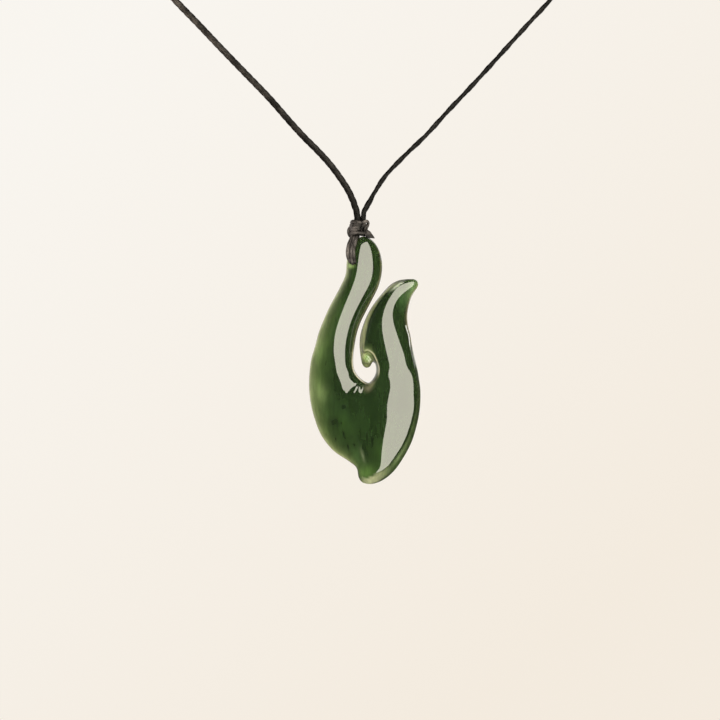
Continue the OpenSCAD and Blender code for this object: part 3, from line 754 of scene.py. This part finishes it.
# Clasp: two turned halves that meet at a seam, with fluted grips beside it and grooves by the mouths. Each
# row is the place along a half and the radius there, from the seam to inside the mouth.
HALF_CLASP = [(0, 2.02), (0.1, 2.02), (0.13, 2.1), (0.2, 2.17), (0.32, 2.2), (0.8, 2.2), (1.1, 2.2),
              (1.2, 2.12), (1.28, 2.08), (1.36, 2.12), (1.44, 2.18), (1.6, 2.2), (4.1, 2.2), (4.26, 2.18),
              (4.34, 2.12), (4.42, 2.08), (4.5, 2.12), (4.6, 2.2), (4.8, 2.2), (6, 2.2), (7.4, 2.2),
              (8.8, 2.2), (8.88, 2.17), (8.94, 2.1), (9.06, 2.1), (9.12, 2.17), (9.2, 2.2), (9.5, 2.2),
              (9.58, 2.17), (9.64, 2.1), (9.76, 2.1), (9.82, 2.17), (9.9, 2.2), (10.5, 2.2), (10.66, 2.19),
              (10.84, 2.12), (11.3, 1.9), (11.8, 1.68), (11.94, 1.58), (12, 1.46), (12, 1.1), (11.96, 0.96),
              (11.85, 0.88), (11.6, 0.86), (10, 0.86), (8.4, 0.86), (8.2, 0.4)]
FLUTES, FLUTE_DEEP, GRIP, GRIP_SOFT = 40, 0.07, (1.62, 4.08), 0.2
CLASP_STEP, CLASP_SIDES = 0.3, 160


def clasp_barrel():
    rows = []
    for (x, r), (x2, r2) in zip(HALF_CLASP[:-1], HALF_CLASP[1:]):
        parts = max(1, round(abs(x2 - x) / CLASP_STEP))
        rows += [(x + (x2 - x) * k / parts, r + (r2 - r) * k / parts) for k in range(parts)]
    rows = np.array(rows + [HALF_CLASP[-1]])
    rows = np.vstack([rows[:0:-1] * (-1, 1), rows])
    x, r = rows[:, :1], rows[:, 1:]
    angle = 2 * math.pi * np.arange(CLASP_SIDES)[None] / CLASP_SIDES
    off = np.abs(x)
    grip = spell(off, GRIP[0], GRIP[0] + GRIP_SOFT, GRIP[1] - GRIP_SOFT, GRIP[1])
    r = r - FLUTE_DEEP * grip * np.abs(np.cos(angle * FLUTES / 2)) ** 3
    verts = np.stack([np.broadcast_to(x, r.shape), r * np.cos(angle), r * np.sin(angle)], axis=-1)
    faces = [(i * CLASP_SIDES + k, i * CLASP_SIDES + (k + 1) % CLASP_SIDES,
              (i + 1) * CLASP_SIDES + (k + 1) % CLASP_SIDES, (i + 1) * CLASP_SIDES + k)
             for i in range(len(rows) - 1) for k in range(CLASP_SIDES)]
    last = (len(rows) - 1) * CLASP_SIDES
    faces += [tuple(range(CLASP_SIDES - 1, -1, -1)), tuple(range(last, last + CLASP_SIDES))]
    obj = mesh_object("clasp_barrel", verts.reshape(-1, 3), faces)
    outward(obj)
    return obj


clasp = clasp_barrel()


# Colours for each point of a mesh, and the light that it keeps or loses

def painted(obj, name, colour):
    """Gives each point of a mesh a colour of its own."""
    layer = obj.data.color_attributes.new(name, "FLOAT_COLOR", "POINT")
    opaque = np.column_stack([colour, np.ones(len(colour))])
    layer.data.foreach_set("color", opaque.astype(np.float32).ravel())


def shaded(obj, share):
    painted(obj, "shade", np.column_stack([share] * 3))


def points_of(obj, what="co"):
    """The places of a mesh's points in metres, or their normals."""
    out = np.empty(len(obj.data.vertices) * 3)
    obj.data.vertices.foreach_get(what, out)
    return out.reshape(-1, 3)


GOLDEN_TURN, OFF_SURFACE = 2.39996, 0.00003


def crevices(obj, reach, rays=22):
    """Share of the directions out of each point that meet nothing within reach."""
    mesh = obj.data
    tree = BVHTree.FromPolygons([v.co for v in mesh.vertices], [tuple(f.vertices) for f in mesh.polygons])
    k = np.arange(rays) + 0.5
    up, turn = np.sqrt(1 - k / rays), k * GOLDEN_TURN
    flat = np.sqrt(1 - up * up)
    spray = np.stack([flat * np.cos(turn), flat * np.sin(turn), up], axis=1)
    co, normal = points_of(obj), points_of(obj, "normal")
    side = unit(np.cross(normal, np.where(np.abs(normal[:, :1]) > 0.7, (0.0, 1.0, 0.0), (1.0, 0.0, 0.0))))
    ahead = np.cross(normal, side)
    free = np.zeros(len(co))
    for direction in spray:
        way = side * direction[0] + ahead * direction[1] + normal * direction[2]
        start = co + normal * OFF_SURFACE
        free += [tree.ray_cast(Vector(a), Vector(b), reach)[0] is None for a, b in zip(start, way)]
    return free / rays


# Painted shade in the knot and the loop: pixel, size and how dark
PAINTED_SHADE = [((362.8, 227.4), 3.0, 4.6, 0.88), ((354, 221), 2.6, 1.2, 0.8), ((359.6, 236.5), 3.0, 3.6, 0.95),
        ((367.6, 236.8), 2.2, 1.8, 0.9), ((371.6, 238), 2.5, 1.0, 0.7), ((356, 235.2), 5.5, 1.6, 0.8),
        ((352.6, 241.5), 1.4, 5.0, 0.6), ((357.6, 248), 1.4, 12, 0.8), ((360.5, 219.5), 3.4, 1.6, 0.7),
        ((350.6, 254.5), 0.5, 3.6, 0.8), ((353.2, 257.5), 0.5, 3.6, 0.8), ((350.2, 246), 0.5, 4.2, 0.6),
        ((353, 263.6), 3.6, 1.6, 0.6), ((349, 236.4), 1.6, 1.6, 0.5), ((371, 236), 4.0, 2.6, 0.80)]
# The knot and the loop get painted shade in their crevices and in the places above
for obj in (knot, loop):
    x, y = to_photo(points_of(obj) / MM)
    share = 0.06 + 1.0 * smooth_step(crevices(obj, 0.0009), 0.3, 1.0)
    for (cx, cy), wide, tall, dark in PAINTED_SHADE:
        share *= 1 - dark * np.exp(-((x - cx) / wide) ** 2 - ((y - cy) / tall) ** 2)
    shaded(obj, share)
# The clasp gets painted shade in its grooves
shaded(clasp, 0.16 + 0.40 * smooth_step(crevices(clasp, 0.0005), 0.35, 0.98))
# The cords get painted light high up and on the side that looks down and left
PAINTED_LIGHT_SIDE = np.array([-0.64, -0.42, -0.64])
for obj, wear_and_sheen, plain in ((left_cord, 3.6, 0.55), (right_cord, 0.40, 0.24)):
    co, normal = points_of(obj) / MM, points_of(obj, "normal")
    lower_left = smooth_step(normal @ PAINTED_LIGHT_SIDE, -0.1, 0.75)
    high = smooth_step(co[:, 2], -150, -112)
    shaded(obj, plain + (wear_and_sheen - plain) * high * (0.12 + 0.88 * lower_left))


# Materials

def filled(node, values):
    for name, value in values.items():
        node.inputs[name].default_value = value


class Nodes:
    """The nodes of one material or of the world, with short ways to add to them."""

    def __init__(self, tree):
        self.nodes, self.link = tree.nodes, tree.links.new
        self.shader = tree.nodes.get("Principled BSDF")

    def add(self, kind, **settings):
        node = self.nodes.new("ShaderNode" + kind)
        for name, value in settings.items():
            setattr(node, name, value)
        return node

    def maths(self, kind, a, b):
        node = self.add("Math", operation=kind)
        for socket, value in zip(node.inputs, (a, b)):
            if isinstance(value, (int, float)):
                socket.default_value = value
            else:
                self.link(value, socket)
        return node.outputs["Value"]

    def ranged(self, value, low, high, to_low, to_high, kind="SMOOTHSTEP"):
        """A value taken from one range to another."""
        node = self.add("MapRange", interpolation_type=kind)
        self.link(value, node.inputs["Value"])
        filled(node, {"From Min": low, "From Max": high, "To Min": to_low, "To Max": to_high})
        return node.outputs["Result"]

    def noise(self, vector, stretch, scale, detail=3.0, rough=0.5):
        """Noise over a vector in metres that is first stretched along each axis."""
        fit = self.add("VectorMath", operation="MULTIPLY")
        fit.inputs[1].default_value = stretch
        self.link(vector, fit.inputs[0])
        node = self.add("TexNoise")
        filled(node, {"Scale": scale, "Detail": detail, "Roughness": rough})
        self.link(fit.outputs["Vector"], node.inputs["Vector"])
        return node.outputs["Fac"]

    def tinted(self, colour, factor):
        """A colour times a number."""
        node = self.add("VectorMath", operation="SCALE")
        self.link(colour, node.inputs[0])
        self.link(factor, node.inputs["Scale"])
        return node.outputs["Vector"]

    def product(self, a, b):
        """A colour times a colour."""
        node = self.add("VectorMath", operation="MULTIPLY")
        self.link(a, node.inputs[0])
        self.link(b, node.inputs[1])
        return node.outputs["Vector"]

    def toward(self, vector, direction):
        """How far a vector goes along a direction."""
        node = self.add("VectorMath", operation="DOT_PRODUCT")
        node.inputs[1].default_value = direction
        self.link(vector, node.inputs[0])
        return node.outputs["Value"]

    def mix(self, share, a, b):
        """From colour a at 0 to colour b at 1."""
        node = self.add("Mix", data_type="RGBA")
        filled(node, {"A": (*a, 1), "B": (*b, 1)})
        self.link(share, node.inputs["Factor"])
        return node.outputs["Result"]

    def place(self, kind="Object"):
        return self.add("TexCoord").outputs[kind]

    def paint(self, layer):
        return self.add("VertexColor", layer_name=layer).outputs["Color"]

    def drive(self, name, value):
        """Links a value to the shader's own socket."""
        self.link(value, self.shader.inputs[name])

    def bump(self, height, strength, distance):
        node = self.add("Bump")
        filled(node, {"Strength": strength, "Distance": distance})
        self.link(height, node.inputs["Height"])
        self.drive("Normal", node.outputs["Normal"])


def material(name):
    made = bpy.data.materials.new(name)
    made.use_nodes = True
    return made, Nodes(made.node_tree)


# Green stone. The broad zones of colour are worked out for each point of the mesh: where it lies in the
# frame of the photograph, its size there, how far it is turned, its colour and how much of it there is.
DEEP, FLECK, FAINT = (0.0078, 0.016, 0.0052), (0.002, 0.004, 0.002), (0.003, 0.006, 0.002)
ZONES = [
    # the left flank, brighter with painted light as if it came through the thin stone, with its milky patch;
    # a painted pool of light under the hole and a painted reflection along the upper edge of the arm's point
    (322, 345, 11, 48, 14, (0.024, 0.052, 0.013), 0.36), (318, 385, 11, 38, -4, (0.032, 0.064, 0.017), 0.5),
    (320, 393, 6.5, 10, 0, (0.1, 0.135, 0.055), 0.55), (326, 430, 16, 26, -32, (0.026, 0.05, 0.014), 0.4),
    (352, 292, 6, 30, 22, (0.018, 0.042, 0.01), 0.4), (350.8, 266, 2.8, 2.2, 0, (0.26, 0.38, 0.13), 0.75),
    (397, 286, 7, 1.2, -37, (0.3, 0.33, 0.26), 0.7), (318, 352, 5, 9, 10, (0.045, 0.1, 0.022), 0.18),
    (354, 462, 1.8, 9, -35, (0.06, 0.1, 0.035), 0.4),
    # the point of the arm, the bulb and the foot, brighter with painted light as if it came through the thin
    # stone; painted highlights below the notch; a darker patch on the right of the head
    (413, 291, 6.5, 13, 14, (0.095, 0.16, 0.065), 0.75), (402, 300, 5, 10, 0, (0.03, 0.07, 0.022), 0.4),
    (365, 356, 5.5, 6.5, 10, (0.26, 0.34, 0.13), 0.9), (368, 358.5, 2.6, 3.4, 0, (0.1, 0.26, 0.04), 0.8),
    (366, 473, 11, 7, -20, (0.05, 0.1, 0.022), 0.6), (371.5, 384.5, 2, 4.5, 35, (0.16, 0.16, 0.09), 0.6),
    (367.6, 388.4, 3.6, 3, 0, (0.13, 0.12, 0.075), 0.6), (375, 262, 5, 26, 4, (0.01, 0.023, 0.006), 0.5),
    # soft lighter veins in the body and darker clouds
    (357, 457, 5, 12, -18, (0.05, 0.1, 0.03), 0.35), (345, 425, 7, 16, -12, (0.03, 0.07, 0.015), 0.3),
    (378, 452, 6, 16, 6, (0.03, 0.065, 0.014), 0.35), (334, 422, 6, 5, 20, (0.004, 0.008, 0.003), 0.7),
    (338, 408, 14, 7, 30, (0.008, 0.017, 0.006), 0.4), (368, 420, 14, 22, 8, (0.01, 0.024, 0.006), 0.4),
    # flecks, and last a painted highlight stroke low on the body
    (344, 407, 2.2, 1.8, 0, FLECK, 0.85), (343.6, 434, 1.3, 5, -14, FLECK, 0.85),
    (348, 447, 1.2, 3.2, -20, FLECK, 0.85), (348.6, 456, 1.6, 3.4, 25, FLECK, 0.85),
    (354, 445, 1.1, 2.6, -30, FAINT, 0.7), (374.7, 415.6, 1.2, 2.2, 10, FAINT, 0.6),
    (373, 437, 1, 2.8, 12, FAINT, 0.6), (339, 399, 1.5, 1.2, 0, FAINT, 0.5),
    (352, 437, 1, 2.4, 0, FAINT, 0.5), (362.6, 455, 1.2, 6, -17, (0.2, 0.24, 0.14), 0.42),
]


# By section, in mm: how far in from the left edge the painted light comes through, and how wide the bevel's
# dark rim is
FLANK_REACH = [(4, 0.3), (8, 0.45), (12, 0.95), (15, 1), (17, 0.8), (21, 0.4)]
DARK_RIM = [(23, 0.08), (24.5, 0.4), (26, 0.95), (28, 1.2)]


def washed(colour, share, rgb):
    """The colour of each point with a share of another over it."""
    share = share[:, None]
    return colour * (1 - share) + np.array(rgb) * share


def stone_tint():
    """Paints the stone: its zones, painted light along its edges as if it came through the thin stone,
    painted highlights, a painted shadow in the groove round the bulb and darker edge lines.
    """
    co, normal = points_of(stone) / MM, points_of(stone, "normal")
    x, y = to_photo(co)
    colour = np.tile(DEEP, (len(x), 1))
    for cx, cy, wide, tall, turn, rgb, share in ZONES:
        a = math.radians(turn)
        u = ((x - cx) * math.cos(a) + (y - cy) * math.sin(a)) / wide
        v = (-(x - cx) * math.sin(a) + (y - cy) * math.cos(a)) / tall
        colour = washed(colour, share * np.exp(-(u * u + v * v)), rgb)
    into, outer, inner, section = (np.empty(len(x)) for _ in range(4))
    for name, field in (("into", into), ("outer", outer), ("inner", inner), ("section", section)):
        stone.data.attributes[name].data.foreach_get("value", field)
        stone.data.attributes.remove(stone.data.attributes[name])
    on_left = smooth_step(-normal[:, 0], -0.1, 0.5)

    def rows(low, high, soft=1.5):
        return spell(section, low - soft, low + soft, high - soft, high + soft)

    # painted light, as if it came through the thin stone along the edges: most on the left flank, then on the
    # bevels and the edge of the notch; painted highlights along some edges and the ridge, a painted shadow in
    # the groove inside the ridge round the bulb, and darker lines along some edges
    curl = rows(29.5, 36.5, 1)
    reach = looked_up(section, FLANK_REACH)
    bevel = outer / looked_up(section, BEVEL)
    thin = looked_up(section, DARK_RIM)
    for w, rgb in (
        ((0.08 + 0.30 * on_left) * np.exp(-np.abs(co[:, 1]) / 0.8), (0.15, 0.19, 0.075)),
        (0.80 * rows(4, 20.6) * np.exp(-outer / reach), (0.25, 0.31, 0.12)),
        (0.60 * rows(3, 20.4) * np.exp(-outer / 0.22), (0.50, 0.47, 0.30)),
        (0.18 * rows(4, 25) * np.exp(-((inner - 0.3) / 0.12) ** 2), (0.40, 0.34, 0.22)),
        (0.55 * rows(13, 19) * np.exp(-((inner - 0.25) / 0.13) ** 2), (0.50, 0.46, 0.32)),
        (0.85 * rows(35, 43) * smooth_step(into, -0.45, 0.35) * on_left, (0.36, 0.375, 0.205)),
        (0.70 * rows(38, 47) * np.exp(-(inner / 0.2) ** 2), (0.03, 0.028, 0.014)),
        (0.60 * rows(37, 45) * np.exp(-(outer / 0.4) ** 2), (0.12, 0.10, 0.045)),
        (0.55 * rows(26, 34) * smooth_step(into, -0.1, 0.2), (0.16, 0.17, 0.085)),
        (0.80 * curl * np.exp(-((into - 0.34) / 0.13) ** 2), (0.004, 0.008, 0.003)),
        (0.88 * rows(27, 36, 1) * np.exp(-((into - 0.02) / 0.12) ** 2), (0.43, 0.40, 0.285)),
        (0.85 * rows(22.9, 25.1, 0.9) * (1 - smooth_step(bevel, 0.8, 0.98)), (0.220, 0.235, 0.140)),
        (0.55 * rows(25.6, 32, 1.5) * (1 - smooth_step(bevel, 0.6, 1.0)), (0.125, 0.170, 0.078)),
        (0.60 * rows(20, 22.6, 0.5) * np.exp(-(outer / 0.18) ** 2), (0.05, 0.04, 0.02)),
        (0.85 * rows(24, 34, 1) * (1 - smooth_step(outer, 0.5 * thin, thin)), (0.012, 0.020, 0.007)),
    ):
        colour = washed(colour, w, rgb)
    painted(stone, "tint", colour)


stone_tint()
jade, look = material("greenstone")
inside = look.place()
cloud = look.ranged(look.noise(inside, (1, 1, 0.45), 260, 4, 0.55), 0.3, 0.7, 0.78, 1.26)
grain = look.ranged(look.noise(inside, (1, 1, 0.16), 1500, 3, 0.6), 0.3, 0.7, 0.88, 1.14)
speck = look.ranged(look.noise(inside, (1, 1, 0.35), 900, 2, 0.5), 0.24, 0.34, 0.45, 1)
mixed = look.maths("MULTIPLY", look.maths("MULTIPLY", cloud, grain), speck)
look.drive("Base Color", look.tinted(look.paint("tint"), mixed))
filled(look.shader, {"Roughness": 0.035, "IOR": 1.6, "Subsurface Weight": 0.3,
                     "Subsurface Radius": (0.8, 1.0, 0.45), "Subsurface Scale": 0.0007})
look.bump(look.noise(inside, (1, 1, 1), 700, 2, 0.5), 0.05, 0.00002)
stone.data.materials.append(jade)


def waxed(name, dark, light, gloss):
    """Waxed cord: fine threads along each strand, and wax that catches the light in places."""
    made, look = material(name)
    threads = look.noise(look.place("UV"), (0.9, 26, 1), 1.0, 4, 0.6)
    wear_and_sheen = look.noise(look.place(), (1, 1, 1), 420, 3, 0.5)
    share = look.ranged(look.maths("MULTIPLY", threads, wear_and_sheen), 0.14, 0.40, 0, 1)
    look.drive("Base Color", look.product(look.mix(share, dark, light), look.paint("shade")))
    look.drive("Roughness", look.ranged(wear_and_sheen, 0.3, 0.7, 0.62, 0.40))
    look.shader.inputs["Specular IOR Level"].default_value = gloss
    look.bump(threads, 0.7, 0.0001)
    return made


cord_wax = waxed("waxed_cord", (0.0022, 0.0018, 0.0015), (0.017, 0.0143, 0.0128), 0.10)
knot_wax = waxed("waxed_knot", (0.0060, 0.0050, 0.0047), (0.092, 0.080, 0.076), 0.14)
for o, wax in ((left_cord, cord_wax), (right_cord, cord_wax), (knot, knot_wax), (loop, knot_wax)):
    o.data.materials.append(wax)

# Turned metal: fine rings round the barrel, stains here and there, and painted shade in the grooves
metal, look = material("satin_metal")
inside = look.place()
rings = look.noise(inside, (1, 0.02, 0.02), 3600, 2, 0.5)
stain = look.noise(inside, (1, 1, 1), 380, 4, 0.6)
tone = look.maths("MULTIPLY", look.ranged(rings, 0.3, 0.7, 0.84, 1), look.ranged(stain, 0.3, 0.62, 0.8, 1))
look.shader.inputs["Metallic"].default_value = 1
look.drive("Base Color", look.tinted(look.paint("shade"), tone))
look.drive("Roughness", look.ranged(stain, 0.3, 0.7, 0.34, 0.46))
look.bump(rings, 0.12, 0.00003)
clasp.data.materials.append(metal)


# What moves with what
for o, body, slot, node in (
    (stone, "pendant", "greenstone", "stone"), (left_cord, "necklace", "cord", "cord_left"),
    (right_cord, "necklace", "cord", "cord_right"), (knot, "necklace", "cord", "knot"),
    (loop, "necklace", "cord", "hanging_loop"), (clasp, "necklace", "clasp", "clasp"),
):
    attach(o, body)
    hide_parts(node)


# Studio

def staged(name, made):
    """Makes the newest object a part of the studio that only the camera sees, so that the stone mirrors the
    lights alone."""
    obj = bpy.context.object
    obj.name = name
    obj.data.materials.append(made)
    for ray in ("diffuse", "glossy", "transmission", "volume_scatter", "shadow"):
        setattr(obj, "visible_" + ray, False)


FLOOR_R, FLOOR_Z, BACKDROP_R = 3.9, -0.62, 4.0
bpy.ops.mesh.primitive_circle_add(vertices=128, radius=FLOOR_R, fill_type="NGON", location=(0, 0, FLOOR_Z))
made, look = material("floor")
filled(look.shader, {"Base Color": (0.10, 0.10, 0.10, 1), "Roughness": 0.9, "Specular IOR Level": 0.0,
                     "Emission Color": (0.86, 0.83, 0.78, 1), "Emission Strength": 0.95})
staged("floor", made)

# A pale backdrop all round, warmer towards the lower right
bpy.ops.mesh.primitive_uv_sphere_add(segments=96, ring_count=48, radius=BACKDROP_R)
bpy.ops.object.shade_smooth()
made, look = material("backdrop")
look.nodes.remove(look.shader)
glow = look.add("Emission")
share = look.ranged(look.toward(look.place(), (1.2, 0, -1.5)), -0.5, 0.95, 0, 1, "LINEAR")
look.link(look.mix(share, (0.945, 0.915, 0.865), (0.900, 0.830, 0.735)), glow.inputs["Color"])
look.link(glow.outputs["Emission"], look.nodes["Material Output"].inputs["Surface"])
staged("backdrop", made)


LIT_PLACE = (0, 0, -0.2)


def width_seen(away, degrees):
    """The width that is seen as so many degrees from so far away."""
    return 2 * away * math.tan(math.radians(degrees / 2))


def softbox(name, azimuth, elevation, away, wide, tall, radiance, colour=(1, 1, 1), hidden=()):
    """A rectangle of even light that faces the stone. Azimuth 0 is in front, 90 on the right. Rays of the
    hidden kinds don't meet it."""
    a, e = math.radians(azimuth), math.radians(elevation)
    toward = Vector((math.sin(a) * math.cos(e), -math.cos(a) * math.cos(e), math.sin(e)))
    lamp = bpy.data.lights.new(name, "AREA")
    lamp.shape = "RECTANGLE"
    lamp.size, lamp.size_y = wide, tall
    lamp.energy = radiance * math.pi * wide * tall
    lamp.color = colour
    obj = bpy.data.objects.new(name, lamp)
    bpy.context.scene.collection.objects.link(obj)
    obj.location = Vector(LIT_PLACE) + toward * away
    obj.rotation_euler = toward.to_track_quat("Z", "Y").to_euler()
    for ray in ("camera", *hidden):
        setattr(obj, "visible_" + ray, False)
    return obj


# The polish mirrors the key as the long pale bands. The lamps glint and back_sheen are only mirrored, and the
# others only light the colour under the polish.
softbox("key", 30.5, 4, 0.6, width_seen(0.6, 43), 1.5, 8.3, (1, 0.955, 0.81))
softbox("fill", -52, 14, 0.7, 0.5, 0.8, 4.2, (1, 0.98, 0.93), ("glossy",))
softbox("rim", -120, 8, 0.8, 0.7, 0.9, 2.4, (1, 0.98, 0.93), ("glossy",))
softbox("glint", 109.5, 12, 0.7, 0.10, 0.08, 8.5, (1, 0.98, 0.92), ("diffuse", "transmission"))
softbox("back_fill", 180, 12, 0.8, 0.7, 0.9, 4.0, (1, 0.97, 0.9), ("glossy",))
softbox("back_sheen", 141, 6, 0.6, width_seen(0.6, 26), 1.2, 2.2, (1, 0.97, 0.9), ("diffuse", "transmission"))

world = bpy.data.worlds.new("studio")
bpy.context.scene.world = world
world.use_nodes = True
look = Nodes(world.node_tree)
direction = look.place("Generated")


def lit_from(toward, low, high, strength):
    """Light that grows from low to high, as the cosine to a direction."""
    return look.ranged(look.toward(direction, Vector(toward).normalized()), low, high, 0, strength)


EVENLY_LIT = 0.03
behind = lit_from((0.1, 1, 0), 0.15, 0.85, 0.3)
left_behind = lit_from((-1, 0.8, 0.1), 0.1, 0.95, 0.3)
below = lit_from((0.1, 0.15, -1), 0.72, 0.95, 0.45)
total = look.maths("ADD", look.maths("ADD", behind, left_behind), below)
look.link(look.maths("ADD", total, EVENLY_LIT), look.nodes["Background"].inputs["Strength"])
look.nodes["Background"].inputs["Color"].default_value = (1, 0.965, 0.91, 1)
